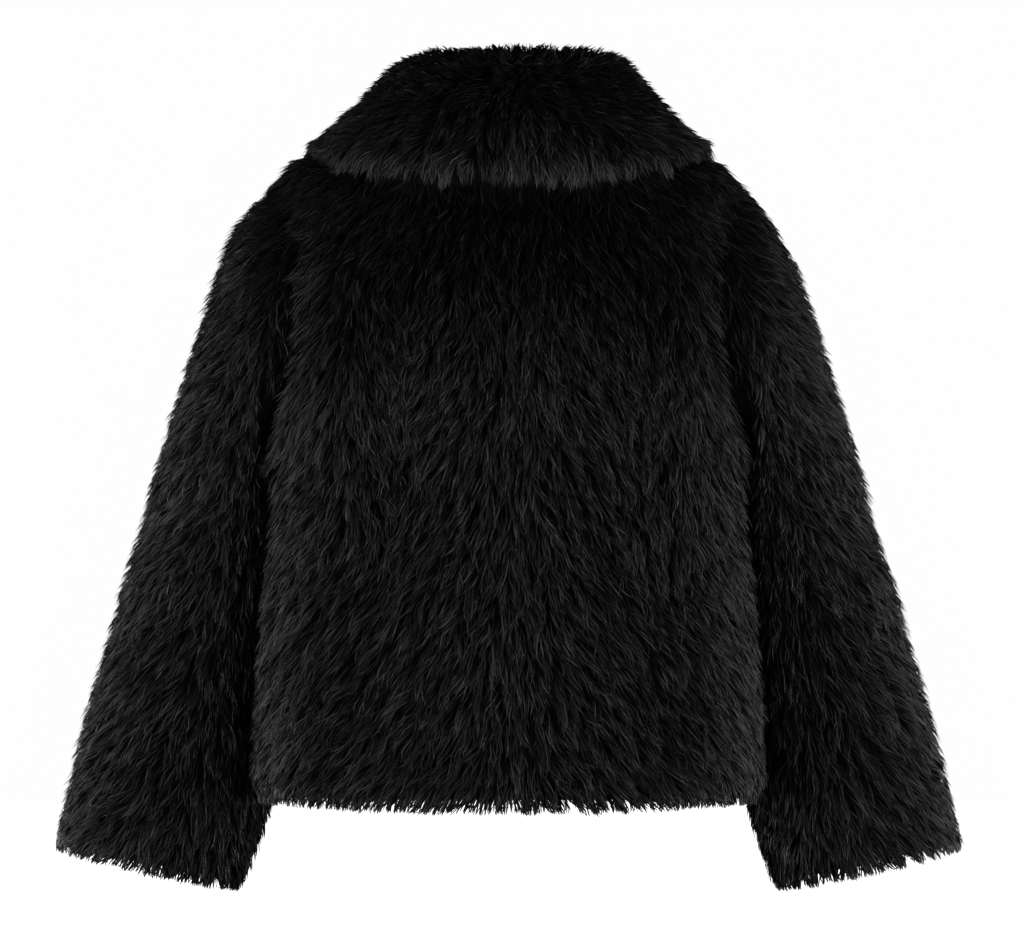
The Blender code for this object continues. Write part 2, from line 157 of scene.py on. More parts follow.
def smooth(values, at):
    """Reads a smooth curve through values at the row coordinates at."""
    values = np.asarray(values, float)
    at = np.clip(np.asarray(at, float), 0, len(values) - 1)
    low = np.minimum(at.astype(int), len(values) - 2)
    slope = np.gradient(values, axis=0)
    t = (at - low).reshape(at.shape + (1,) * (values.ndim - 1))
    return (
        (2 * t**3 - 3 * t**2 + 1) * values[low]
        + (t**3 - 2 * t**2 + t) * slope[low]
        + (3 * t**2 - 2 * t**3) * values[low + 1]
        + (t**3 - t**2) * slope[low + 1]
    )


def column(table, name, at):
    """One named column of a table, read smoothly between its rows."""
    return smooth([getattr(row, name) for row in table], at)


def unit(vectors):
    return vectors / np.maximum(np.linalg.norm(vectors, axis=-1, keepdims=True), 1e-9)


def dot(a, b):
    return (a * b).sum(-1, keepdims=True)


def ease(x, low, high):
    """0 below low, 1 above high, and smooth between them."""
    t = np.clip((x - low) / (high - low), 0, 1)
    return t * t * (3 - 2 * t)


def fade(distance, reach):
    """1 at no distance, dying away over about reach on both sides."""
    return np.exp(-((distance / reach) ** 2))


def body(angle, row):
    """A point of the body's outer face. angle is 0 at the wearer's left and pi/2 behind."""
    cosine, sine = np.cos(angle), np.sin(angle)
    behind = sine >= 0
    power = 2 / column(BODY, "square", row)
    side_z = column(BODY, "side_z", row)
    end_z = np.where(behind, column(BODY, "back_z", row), column(BODY, "front_z", row))
    end_y = np.where(behind, column(BODY, "back_y", row), -column(BODY, "front_y", row))
    return np.stack(
        (
            column(BODY, "side_x", row) * np.sign(cosine) * np.abs(cosine) ** power,
            end_y * np.abs(sine) ** power,
            side_z + (end_z - side_z) * sine**2,
        ),
        axis=-1,
    )


def armhole_angle(row, behind):
    """The body angle where a panel stops: 0 at the side and shoulder seams, more between."""
    half = ARMHOLE_HALF_DEPTH * np.sqrt(np.clip(1 - (row - ARMHOLE_ROW) ** 2, 0, 1))
    depth = column(BODY, "back_y" if behind else "front_y", row)
    return np.arcsin(np.clip(half / depth, 0, 1) ** (column(BODY, "square", row) / 2))


def armhole(turn):
    """The left armhole's edge on the outer face. turn is 0 at the shoulder tip, pi/2 behind."""
    row = ARMHOLE_ROW + np.cos(turn)
    behind, front = armhole_angle(row, True), -armhole_angle(row, False)
    return body(np.where(np.sin(turn) >= 0, behind, front), row)


def from_armhole(points):
    """The direction out from the armhole's middle, in its own plane."""
    top, bottom = BODY[SHOULDER].side_z, BODY[UNDERARM].side_z
    y = points[..., 1] / ARMHOLE_HALF_DEPTH**2
    z = (points[..., 2] - (top + bottom) / 2) / ((top - bottom) / 2) ** 2
    return unit(np.stack((np.zeros_like(y), y, z), axis=-1))


def facing(points, outward):
    """Normals of a grid of points, on the side that outward points to."""
    normals = unit(np.cross(np.gradient(points, axis=0), np.gradient(points, axis=1)))
    return normals * np.sign(dot(normals, outward).mean())


def fold_depth(x, z, folds):
    """How far the folds press in at x, z, seen from straight behind or in front."""
    pressed = np.zeros_like(x)
    for fold in folds:
        along_x, along_z = fold.x1 - fold.x0, fold.z1 - fold.z0
        length = np.hypot(along_x, along_z)
        t = ((x - fold.x0) * along_x + (z - fold.z0) * along_z) / length**2
        away = ((x - fold.x0) * along_z - (z - fold.z0) * along_x) / length
        beyond = np.maximum(np.abs(t - 0.5) - 0.5, 0) * length
        pressed += fold.depth * np.exp(-(away**2 + beyond**2) / fold.width**2)
    return pressed


def evened(vectors, times):
    """Directions evened out along the rows."""
    vectors = vectors.copy()
    for _ in range(times):
        vectors[1:-1] = (vectors[:-2] + 2 * vectors[1:-1] + vectors[2:]) / 4
    return unit(vectors)


# A panel is a grid of values for each of these. Its rows run away from its hem, cuff or
# loose edge, and its columns close on themselves where ring is True.
#   outer, inner  the mean of the hair tips, and the inside of the cloth
#   normal, flow  the way out, and the lie of the hair
#   edge          the way left to the hem, cuff or loose edge
#   run, rise     how far a lock runs along the face, and how far its tip stands out from it
#   weight        how thickly the locks grow
#   pile          the top of the short pile, as a share of the wall
#   follow        how closely a lock keeps to the faces that it crosses
#   hang          1 where the locks hang free as a fringe
#   tuft          the spacing of the tufts, one number for the panel
#   roll          how far the tips roll in at the edge
#   shade, rim    painted shade, 1 where the fur is painted dark, and painted rim light, 1 where its tips are painted lighter
Panel = namedtuple(
    "Panel",
    "name outer inner normal edge ring flow run rise weight pile follow hang tuft roll shade rim",
)


def grids(panel):
    """The fields of a panel that have a value for each point."""
    return {key: value for key, value in panel._asdict().items() if isinstance(value, np.ndarray)}


def mirror(made):
    """The same panel on the wearer's right."""
    flip = np.array((-1, 1, 1))
    return made._replace(
        outer=made.outer * flip, inner=made.inner * flip,
        normal=made.normal * flip, flow=made.flow * flip,
    )


# ---- collar ------------------------------------------------------------------------------
def shoulder(angle, row, lift):
    """A point above the body's outer face by lift, square to it."""
    step = 0.02
    down = body(angle, row - step) - body(angle, row + step)
    along = body(angle + step, row) - body(angle - step, row)
    normal = unit(np.cross(along, down))
    base = body(angle, row)
    normal *= np.sign(dot(normal, base * (1, 1, 0) + (0, 0, 0.1)))
    return base + normal * lift[..., None]


def collar_locks(outer, edge):
    """What the locks of the collar do. Behind, they spread from the middle of its fold."""
    x, y, z = outer[..., 0], outer[..., 1], outer[..., 2]
    behind = ease(y, -0.02, 0.05)
    spread = np.stack((x + PARTING, 0.4 * y, 2 * (z - 0.034)), axis=-1)
    spread += rng.normal(0, 0.013, spread.shape)
    down = np.stack((np.sign(x) * 0.35, -0.2 + 0 * y, -1.0 + 0 * z), axis=-1)
    flow = unit(spread) * behind[..., None] + unit(down) * (1 - behind[..., None])
    inside_rows = 6
    inside = (np.arange(len(outer)) >= len(outer) - inside_rows)[:, None]
    flow = np.where(inside[..., None], np.array((0, 0, 1.0)), flow)

    top = ease(z, -0.015, 0.040)
    corner = ease(np.abs(x), 0.13, 0.17) * behind
    hanging = fade(edge, 0.036) * (1 - corner)
    fuller = np.exp(-(((x + 0.105) / 0.045) ** 2 + ((z - 0.05) / 0.03) ** 2))
    return dict(
        edge=edge - 0.003 * corner,
        flow=flow,
        run=COLLAR_RUN - 0.015 * top,
        rise=0.007 * fuller - 0.0015 * top - 0.003 * corner,
        weight=(1 + 0.5 * FRINGE * np.exp(-edge / FRINGE_DEPTH)) * (1 - 0.7 * inside),
        pile=COLLAR_PILE_TOP * np.ones_like(x),
        follow=FOLLOW - 0.5 * hanging,
        hang=hanging,
        tuft=COLLAR_TUFT,
        roll=0.004 * (1 - corner),
        # Painted shade darkens the top of the collar, and painted rim light lightens the fur
        # along its loose edge behind.
        shade=0.85 * ease(z, -0.040, 0.025),
        rim=0.7 * fade(edge, 0.050) * behind,
    )


def collar_panel():
    """From the loose edge of the fall up over the fold and down inside the neck."""
    swing = np.linspace(-1, 1, COLLAR_COLUMNS)
    ending = np.clip((np.abs(swing) - 0.955) / 0.045, 0, 0.93)
    soft_end = np.sqrt(1 - ending**2)
    fall_width, first_share = 0.13, 0.22
    points, thickness = [], []
    for share in np.linspace(1 - EDGE_HAIR / fall_width, first_share, FALL_ROWS):
        turn = swing * (COLLAR_END - COLLAR_SPREAD * share)
        at = np.abs(np.degrees(turn)) / 45
        share = share * (1 - 0.09 * fade(at - 1.9, 0.6))         # trimmed over the shoulders
        reach = column(COLLAR, "reach", at)
        fold = column(COLLAR, "thick_fold", at)
        middle = column(COLLAR, "thick_middle", at)
        edge = column(COLLAR, "thick_edge", at)
        thick = fold + (middle - fold) * share * 2
        thick = np.where(share > 0.5, middle + (edge - middle) * (share * 2 - 1), thick)
        thick = thick * soft_end
        row = NECK + (reach - NECK) * share
        points.append(shoulder(np.pi / 2 - turn, row, COLLAR_LIFT + thick))
        thickness.append(thick)
    turn = swing * COLLAR_END
    at = np.abs(np.degrees(turn)) / 45
    neck = body(np.pi / 2 - turn, np.full_like(turn, NECK))
    for spot in STAND:
        out = (FOLD_WIDTH * spot.share * (0.5 + 0.5 * soft_end) - WALL)[..., None]
        point = neck + unit(neck * (1, 1, 0)) * out
        point[..., 2] += column(COLLAR, "rise", at) * spot.lift * (0.6 + 0.4 * soft_end)
        points.append(point)
        thickness.append(np.full_like(at, 0.036 if spot.lift > 0 else 0.010))
    outer = np.array(points)
    outward = facing(outer, outer * (1, 1, 0) + (0, 0, 0.1))
    depth = np.minimum(0.018, 0.5 * np.array(thickness))
    inner = outer - outward * depth[..., None]
    length = np.linalg.norm(np.diff(outer, axis=0), axis=-1)
    edge = np.concatenate((np.zeros((1, len(swing))), np.cumsum(length, axis=0))) + EDGE_HAIR
    return Panel("collar", outer, inner, outward, ring=False, **collar_locks(outer, edge))


COLLAR_PANEL = collar_panel()


# ---- back and fronts ---------------------------------------------------------------------
# Where the hair of the back turns back towards the middle: a line down it and how far it
# spreads, in metres, and the turn in degrees. The second one shows on the fronts too.
Swirl = namedtuple("Swirl", "x high low spread turn")
SWIRLS = (
    Swirl(0.130, -0.115, -0.405, 0.035, -52),
    Swirl(-0.140, -0.110, -0.440, 0.036, -38),
)


def torso_swing(x, z, swirls):
    """How far the hair of the torso swings out from straight down, in radians."""
    low = 34 * np.tanh(np.abs(x) / 0.045)
    high = 54 * ease(np.abs(x), 0, 0.22)
    upper = ease(z, -0.26, -0.13)
    swing = low + (high - low) * upper
    for swirl in swirls:
        within = ease(z, swirl.low, swirl.low + 0.07)
        within = within * (1 - ease(z, swirl.high - 0.03, swirl.high))
        swing = swing + swirl.turn * fade(x - swirl.x, swirl.spread) * within
    return np.radians(swing) * np.sign(x)


def below_collar(points, behind, side):
    """How far each point lies under the collar's loose edge, less than 0 beneath the fall."""
    collar = COLLAR_PANEL.outer
    loose = collar[0] + (collar[0] - collar[1]) * 2.5
    if not behind:                                  # the ends lead up from the front corners
        loose = np.concatenate((loose, collar[:FALL_ROWS, 0], collar[:FALL_ROWS, -1]))
    loose = loose[(loose[:, 1] > 0) == behind]
    loose = loose[np.argsort(loose[:, 0])]
    return np.interp(side * points[..., 0], loose[:, 0], loose[:, 2]) - points[..., 2]


def torso_locks(outer, outward, away, behind, side):
    """What the locks of a torso panel do. away is the distance from its armhole's edge.

    They fall straight at the middle and swing out towards the sides and shoulders.
    """
    x, z = outer[..., 0] + PARTING, outer[..., 2]
    swing = torso_swing(x, z, SWIRLS if behind else SWIRLS[1:])
    edge = z - BODY[0].side_z - 0.004 * ease(np.abs(x), 0.08, 0.17)
    packed = fade(away, 0.036) * ease(-z, 0.20, 0.26)
    over = fade(away, 0.03) * ease(-z, 0.09, 0.15)
    low_shoulder = fade(side * x + 0.19, 0.035) * ease(z, -0.09, -0.045)

    # Few grow under the collar, and those just below its edge lie flat to leave it room.
    below = below_collar(outer, behind, side)
    under = ease(-below, -0.004, 0.006)
    flat = np.exp(-((np.maximum(below, 0) / 0.016) ** 4)) * ease(-np.abs(x), -0.17, -0.12)
    flat = flat * (1.0 if behind else 0.4)
    fringe = 1 + FRINGE * np.exp(-edge / FRINGE_DEPTH)

    # Painted light: rim is painted rim light on the locks at the sides and along the armhole, and
    # shade is painted shade over the upper back and shoulders, a little down the middle, and a
    # painted shadow just under the collar.
    rim = np.maximum(ease(np.abs(outward[..., 0]), 0.45, 0.9), fade(away, 0.018))
    rim = rim * ease(-z, 0.05, 0.11) * (0.5 + 0.5 * ease(edge, 0.0, 0.07))
    middle = 1 - ease(np.abs(x), 0.04, 0.18)
    shade = np.maximum(0.90 * ease(z, -0.27, -0.09), 0.1 * middle) * (1 - rim)
    shade = np.maximum(shade, 0.98 * fade(np.maximum(below, 0), 0.065))
    return dict(
        edge=edge,
        flow=np.stack((np.sin(swing), 0 * x, -np.cos(swing)), axis=-1),
        run=LOCK_RUN + 0.008 * over,
        rise=0.011 * over - 0.005 * low_shoulder - 0.010 * flat,
        weight=(1 - 0.88 * under) * (1 - 0.85 * flat) * fringe,
        pile=PILE_TOP + (PRESSED_PILE - PILE_TOP) * packed,
        follow=FOLLOW - 0.5 * over,
        hang=0 * x,
        tuft=TUFT,
        roll=0.007 + 0 * x,
        shade=shade,
        rim=rim,
    )


def torso_rows():
    height = BODY[1].side_z - BODY[0].side_z
    skirt = np.linspace(EDGE_HAIR / height, UNDERARM, SKIRT_ROWS, endpoint=False)
    turn = np.linspace(np.pi, 0, ARMHOLE_ROWS)
    yoke = np.linspace(SHOULDER, NECK, YOKE_ROWS + 1)[1:]
    return np.concatenate((skirt, ARMHOLE_ROW + np.cos(turn), yoke))


def torso_panel(name, across, behind, mirrored=False):
    """The back, or a front from its side seam (across 0) to the centre (across 1)."""
    row = torso_rows()[:, None]
    start = armhole_angle(row, behind)
    angle = start + (np.pi / 2 - start) * across
    angle = np.where(across > 1, np.pi - (start + (np.pi / 2 - start) * (2 - across)), angle)
    outer = body(angle if behind else -angle, row)
    outward = facing(outer, outer * (1, 1, 0))
    seams = [i for i, a in enumerate(across) if a in (0, 2)]
    for i in seams:
        outward[:, i, 1] = 0
    if not behind:
        outward[:, -1, 0] = 0
    outward = unit(outward)

    radial = from_armhole(outer)
    in_armhole = (row[:, 0] >= UNDERARM - 1e-6) & (row[:, 0] <= SHOULDER + 1e-6)
    edge = outer[in_armhole][:, seams].reshape(-1, 3)
    away = np.linalg.norm(outer[:, :, None] - edge, axis=-1).min(axis=-1)
    near = fade(away, 0.014)
    settled = 1 - fade(away, 0.03)
    side = -1 if mirrored else 1
    folds = BACK_FOLDS if behind else FRONT_FOLDS
    pressed = settled * fold_depth(side * outer[..., 0], outer[..., 2], folds)
    outer = outer - outward * pressed[..., None]

    level = unit(outer * (1, 1, 0))
    neck = np.clip((row - NECK + 0.8) / 0.8, 0, 1)[..., None] ** 2
    through = evened(outward, 9) * (1 - neck) + level * neck
    through = unit(through * (1 - near[..., None]) + radial * near[..., None])
    inner = outer - through * (WALL - pressed * PRESSED)[..., None]
    for i in seams:
        gap = np.where(np.abs(outer[:, i, 1]) < 1e-6, SEAM / 2, 0) * (1 if behind else -1)
        for grid in (outer, inner):
            grid[:, i, 1] += gap
            grid[in_armhole, i, 0] -= SEAM / 2 * np.sign(1 - across[i])
    if not behind:                                  # the fronts meet, so no light shows through
        outer[:, -1, 0] -= SEAM
        inner[:, -1, 0] = outer[:, -1, 0]

    hair = torso_locks(outer, outward, away, behind, side)
    made = Panel(name, outer, inner, outward, ring=False, **hair)
    return mirror(made) if mirrored else made


# ---- sleeves -----------------------------------------------------------------------------
def beside_body(points):
    """Moves sleeve points out to where they just clear the side of the body."""
    rows = np.linspace(0, UNDERARM, 60)
    row = np.interp(points[..., 2], column(BODY, "side_z", rows), rows)
    depth = np.where(
        points[..., 1] >= 0, column(BODY, "back_y", row), column(BODY, "front_y", row)
    )
    power = column(BODY, "square", row)
    inside = np.clip(1 - np.abs(points[..., 1] / depth) ** power, 0, 1)
    side = column(BODY, "side_x", row) * inside ** (1 / power) + ARM_CLEARANCE
    moved = points.copy()
    below = points[..., 2] < BODY[UNDERARM].side_z
    moved[..., 0] = np.where(below, np.maximum(points[..., 0], side), points[..., 0])
    return moved


def sleeve_locks(outer, middle, tip_rise):
    """What the locks of a sleeve do, with tip_rise at the shoulder's tip.

    They fall down the middle of the sleeve and swing out towards its outer edge.
    """
    half = (outer[..., 0].max(axis=1) - outer[..., 0].min(axis=1))[:, None] / 2
    share = (outer[..., 0] - middle[..., 0]) / half
    z = outer[..., 2]
    swing = 27 + 21 * np.tanh(2 * np.maximum(share, 0)) - 42 * np.maximum(-share, 0)
    swing = np.radians(swing + 14 * ease(z, -0.25, -0.12))
    length = np.linalg.norm(np.diff(outer, axis=0), axis=-1)
    edge = np.cumsum(length[::-1], axis=0)[::-1]
    edge = np.concatenate((edge, np.zeros((1, outer.shape[1])))) + EDGE_HAIR
    away = np.linalg.norm(outer - outer[:1], axis=-1)
    packed = fade(away, 0.04) * ease(-z, 0.20, 0.26)
    seam = fade(away, 0.034)
    near_tip = np.exp(-((outer[..., 0] - 0.245) ** 2 + (z + 0.08) ** 2) / 0.03**2)
    # Painted shade darkens the locks in the crease along the armhole seam, on the side that faces
    # the body, over the cap and at the inside of the cuff; rim below is painted rim light on the
    # outer side.
    facing_body = ease(-share, 0.45, 0.85) * ease(-z, 0.22, 0.28)
    shade = np.maximum(0.97 * np.maximum(seam, facing_body), 0.75 * ease(z, -0.24, -0.08))
    shade = np.maximum(shade, 0.9 * ease(-share, 0.1, 0.6) * fade(edge, 0.06))
    full = np.ones_like(edge)
    return dict(
        edge=edge,
        flow=np.stack((np.sin(swing), 0 * swing, -np.cos(swing)), axis=-1),
        run=LOCK_RUN * full,
        rise=-0.006 * seam - 0.002 * ease(share, 0.6, 1.0) + tip_rise * near_tip,
        weight=1 + FRINGE * np.exp(-edge / FRINGE_DEPTH),
        pile=PILE_TOP + (PRESSED_PILE - PILE_TOP) * packed,
        follow=FOLLOW * full,
        hang=0 * full,
        tuft=TUFT,
        roll=0.003 * full,
        shade=shade,
        rim=0.6 * ease(share, 0.0, 1.0),
    )


def sleeve_panel(name, folds_side, tip_rise, mirrored=False):
    """From the cuff up to the armhole, all round. folds_side turns the folds about the arm."""
    turns = np.linspace(0, 2 * np.pi, SLEEVE_COLUMNS, endpoint=False)
    last_length, cap_end = 0.10, 2
    cuff_row = len(SLEEVE) - EDGE_HAIR / last_length
    cap = np.linspace(0, cap_end, CAP_ROWS + 1)[:-1]
    rows = np.concatenate((cap, np.linspace(cap_end, cuff_row, ARM_ROWS)))
    rings = [armhole(turns) + (SEAM / 2, 0, 0)]
    for cut in SLEEVE:
        outer = np.array((cut.outer_x, cut.centre_y, cut.outer_z))
        inner = np.array((cut.inner_x, cut.centre_y, cut.inner_z))
        across = (outer - inner) / 2 * np.cos(turns)[:, None]
        deep = np.array((0, cut.half_y, 0)) * np.sin(turns)[:, None]
        rings.append(beside_body((outer + inner) / 2 + across + deep))
    outer = smooth(np.array(rings), rows)
    outer[1:] = beside_body(outer[1:])

    middle = outer.mean(axis=1, keepdims=True)
    closed = np.concatenate((outer[:, -1:], outer, outer[:, :1]), axis=1)
    outward = facing(closed, closed - middle)[:, 1:-1]
    pressed = fold_depth(outer[..., 0] - middle[..., 0], outer[..., 2], ARM_FOLDS)
    pressed *= np.where(np.sin(turns + folds_side) > 0, 1.0, 0.6)
    pressed *= 1 - fade(np.linalg.norm(outer - outer[:1], axis=-1), 0.03)
    outer = outer - outward * pressed[..., None]

    arms = outer[:, [0, len(turns) // 4]] - middle
    axis = np.cross(arms[:, 0], arms[:, 1])[:, None]
    inward = unit(np.cross(np.gradient(closed, axis=1)[:, 1:-1], axis))
    inward *= -np.sign(dot(inward, outer - middle))
    start = np.clip(1 - rows / 1.5, 0, 1)[:, None, None] ** 2
    inward = unit(inward * (1 - start) - from_armhole(armhole(turns)) * start)
    slant = np.clip(-dot(inward, outward), 0.65, 1) * (1 - start) + start
    depth = (WALL - pressed * PRESSED)[..., None] / slant
    depth *= 1 - PRESSED * (1 - np.cos(turns))[:, None] / 2 * (1 - start)
    inner = outer + inward * depth

    hair = sleeve_locks(outer, middle, tip_rise)
    made = Panel(name, outer, inner, outward, ring=True, **hair)
    made = made._replace(**{key: grid[::-1] for key, grid in grids(made).items()})
    return mirror(made) if mirrored else made


across_back = np.linspace(0, 2, BACK_COLUMNS)
across_front = np.linspace(0, 1, FRONT_COLUMNS)
panels = [
    torso_panel("back", across_back, behind=True),
    torso_panel("front_left", across_front, behind=False),
    torso_panel("front_right", across_front, behind=False, mirrored=True),
    sleeve_panel("sleeve_left", folds_side=0.0, tip_rise=0.006),
    sleeve_panel("sleeve_right", folds_side=np.pi / 3, tip_rise=-0.003, mirrored=True),
    COLLAR_PANEL,
]


# ---- materials ---------------------------------------------------------------------------
def principled(name, roughness, specular=0.5):
    material = bpy.data.materials.new(name)
    material.use_nodes = True
    nodes = material.node_tree.nodes
    shader = nodes["Principled BSDF"]
    shader.inputs["Roughness"].default_value = roughness
    shader.inputs["Specular IOR Level"].default_value = specular
    return material, nodes, material.node_tree.links, shader


def cloth_material():
    """A plain black knit with a fine uneven surface."""
    material, nodes, links, shader = principled("knit", 0.85, 0.1)
    shader.inputs["Base Color"].default_value = (0.0035, 0.0032, 0.0033, 1)
    shader.inputs["Sheen Weight"].default_value = 0.01
    noise = nodes.new("ShaderNodeTexNoise")
    noise.inputs["Scale"].default_value = 900
    bump = nodes.new("ShaderNodeBump")
    bump.inputs["Strength"].default_value = 0.4
    bump.inputs["Distance"].default_value = 0.0006
    links.new(noise.outputs["Fac"], bump.inputs["Height"])
    links.new(bump.outputs["Normal"], shader.inputs["Normal"])
    return material


def pile_material():
    """The dense dark roots between the locks."""
    material, _, _, shader = principled("pile", 0.9, 0.0)
    shader.inputs["Base Color"].default_value = (0.0030, 0.0028, 0.0029, 1)
    return material


# The locks' map has a cell for each lock. Along a cell runs from the root to the tip, and the
# rows go from the darkest locks up to the lightest, with the fine light wisps on top. A lock's
# row is set by its own random tone, by painted shade and by painted rim light, and the wisps'
# light rows are painted highlights.
LOCK_COLUMNS, LOCK_ROWS = 4, 256
WISP_ROWS = 0.125                        # share of the rows that the wisps take
# The darker root colour is painted shade deep among the locks.
ROOT_COLOUR = (0.0024, 0.0021, 0.0022, 1)
TIP_COLOUR = (0.0064, 0.0058, 0.0061, 1)
DARKEST, LIGHTEST, WISP_LIGHTEST = 0.12, 1.32, 3.5


def lock_material():
    """Black fibre, with painted shade that darkens it at the root, lighter and glossier up the
    map's rows.
    """
    material, nodes, links, shader = principled("fur", 0.42, 0.04)
    shader.inputs["Sheen Weight"].default_value = 0.008
    shader.inputs["Sheen Roughness"].default_value = 0.35
    shader.inputs["Sheen Tint"].default_value = (1, 0.95, 0.99, 1)
    uv = nodes.new("ShaderNodeUVMap")
    uv.uv_map = "OFBake"
    split = nodes.new("ShaderNodeSeparateXYZ")
    links.new(uv.outputs["UV"], split.inputs[0])

    def maths(operation, a, b=None):
        node = nodes.new("ShaderNodeMath")
        node.operation = operation
        for socket, value in zip(node.inputs, (a, b)):
            if isinstance(value, (int, float)):
                socket.default_value = value
            elif value is not None:
                links.new(value, socket)
        return node.outputs[0]

    along = maths("FRACT", maths("MULTIPLY", split.outputs[0], LOCK_COLUMNS))
    ramp = nodes.new("ShaderNodeValToRGB")
    ramp.color_ramp.elements[0].color = ROOT_COLOUR
    ramp.color_ramp.elements[1].color = TIP_COLOUR
    ramp.color_ramp.elements[0].position = 0.25
    links.new(along, ramp.inputs["Fac"])
    height = split.outputs[1]
    wisp = maths("GREATER_THAN", height, 1 - WISP_ROWS)
    plain_tone = maths("MULTIPLY", height, LIGHTEST / (1 - WISP_ROWS))
    plain_tone = maths("ADD", DARKEST, plain_tone)
    wisp_tone = maths("SUBTRACT", height, 1 - WISP_ROWS)
    wisp_tone = maths("MULTIPLY", wisp_tone, WISP_LIGHTEST / WISP_ROWS)
    scale = maths("ADD", plain_tone, maths("MULTIPLY", wisp, wisp_tone))
    gloss = nodes.new("ShaderNodeMapRange")
    gloss.inputs["To Min"].default_value = 0.8
    gloss.inputs["To Max"].default_value = 0.45
    links.new(along, gloss.inputs["Value"])
    smooth_wisp = maths("SUBTRACT", 1.0, maths("MULTIPLY", wisp, 0.4))
    dull = maths("SUBTRACT", 1.0, maths("MULTIPLY", height, 8.0))
    rough = maths("MULTIPLY", gloss.outputs["Result"], smooth_wisp)
    links.new(maths("MAXIMUM", rough, dull), shader.inputs["Roughness"])
    mix = nodes.new("ShaderNodeVectorMath")
    mix.operation = "SCALE"
    links.new(ramp.outputs["Color"], mix.inputs[0])
    links.new(scale, mix.inputs["Scale"])
    links.new(mix.outputs[0], shader.inputs["Base Color"])
    return material


CLOTH, PILE, LOCK = cloth_material(), pile_material(), lock_material()


# ---- cloth and pile ----------------------------------------------------------------------
def add_piece(name, mesh, material, node):
    """Shows a mesh in place of a node's solid."""
    mesh.materials.append(material)
    made = bpy.data.objects.new(name, mesh)
    bpy.context.scene.collection.objects.link(made)
    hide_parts(node)
    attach(made, "root")
    return made


def grid_faces(rows, columns, ring, start=0, turned=False):
    """The four corners of each face of a grid whose points are numbered from start."""
    last = columns if ring else columns - 1
    r, c = np.meshgrid(np.arange(rows - 1), np.arange(last), indexing="ij")
    d = (c + 1) % columns
    below, above = r * columns, (r + 1) * columns
    faces = np.stack((below + c, below + d, above + d, above + c), -1)
    faces = faces.reshape(-1, 4) + start
    return faces[:, ::-1] if turned else faces


def handedness(grid, panel):
    """Over 0 where a grid's rows and columns make faces that look out of the panel."""
    along, up = grid[0, 1] - grid[0, 0], grid[1, 0] - grid[0, 0]
    return dot(np.cross(along, up), panel.normal[0, 0])


def wall(name, panel, outer_share, inner_share, material):
    """A closed wall between two shares of the panel's depth."""
    across = panel.inner - panel.outer
    outer_share = np.asarray(outer_share)[..., None]
    outer, inner = panel.outer + across * outer_share, panel.outer + across * inner_share
    rows, columns = outer.shape[:2]
    count = rows * columns
    sign = handedness(outer, panel)
    faces = [grid_faces(rows, columns, panel.ring, 0, sign < 0),
             grid_faces(rows, columns, panel.ring, count, sign > 0)]
    loops = [np.arange(columns) + r * columns for r in (0, rows - 1)]
    if not panel.ring:
        loops += [np.arange(rows) * columns + c for c in (0, columns - 1)]
    for i, loop in enumerate(loops):
        loop = np.append(loop, loop[0]) if panel.ring and i < 2 else loop
        rim = np.stack((loop[:-1], loop[1:], loop[1:] + count, loop[:-1] + count), -1)
        turned = (i in (0, 3)) == (sign > 0)
        faces.append(rim[:, ::-1] if turned else rim)
    vertices = np.concatenate((outer.reshape(-1, 3), inner.reshape(-1, 3)))
    mesh = bpy.data.meshes.new(name)
    mesh.from_pydata(vertices.tolist(), [], np.concatenate(faces).tolist())
    mesh.update()
    mesh.shade_smooth()
    return add_piece(name, mesh, material, panel.name)


# ---- locks -------------------------------------------------------------------------------
SCATTER = rng.random((0x100000, 8))          # places and chances of the tufts
CHANCES = 5
# The wisps' lighter colour is painted highlight on single strands.
WISPS = 0.26                                 # share of the locks that are fine lighter wisps
STEPS = np.array((0.0, 0.40, 0.74, 1.0))     # rings of a lock, from its root to its tip
WIDTHS = np.array((0.8, 1.0, 0.7))           # of all but the tip, as shares
LIFTS = np.array((0.0, 0.58, 0.90, 1.0))     # share of its rise reached at each ring
LOCK_POINTS = 7                              # two at each ring and one at the tip


def skin(panels):
    """All outer faces as one search tree, carried on past the hems and cuffs."""
    vertices, faces, count = [], [], 0
    for panel in panels:
        beyond = panel.outer[:1] + (panel.outer[:1] - panel.outer[1:2]) * 2.5
        grid = np.concatenate((beyond, panel.outer))
        turned = handedness(grid, panel) < 0
        faces.append(grid_faces(*grid.shape[:2], panel.ring, count, turned))
        vertices.append(grid.reshape(-1, 3))
        count += len(vertices[-1])
    return BVHTree.FromPolygons(np.concatenate(vertices).tolist(), np.concatenate(faces).tolist())


SKIN = skin(panels)


def on_skin(points, normals):
    """The nearest places on the outer faces and their normals, where they face the same way."""
    places, ways = points.copy(), normals.copy()
    for i, point in enumerate(points):
        place, way, _, _ = SKIN.find_nearest(Vector(point), 0.03)
        if place is None:
            continue
        if way.dot(Vector(normals[i])) > 0.25:
            places[i], ways[i] = place, way
    return places, ways


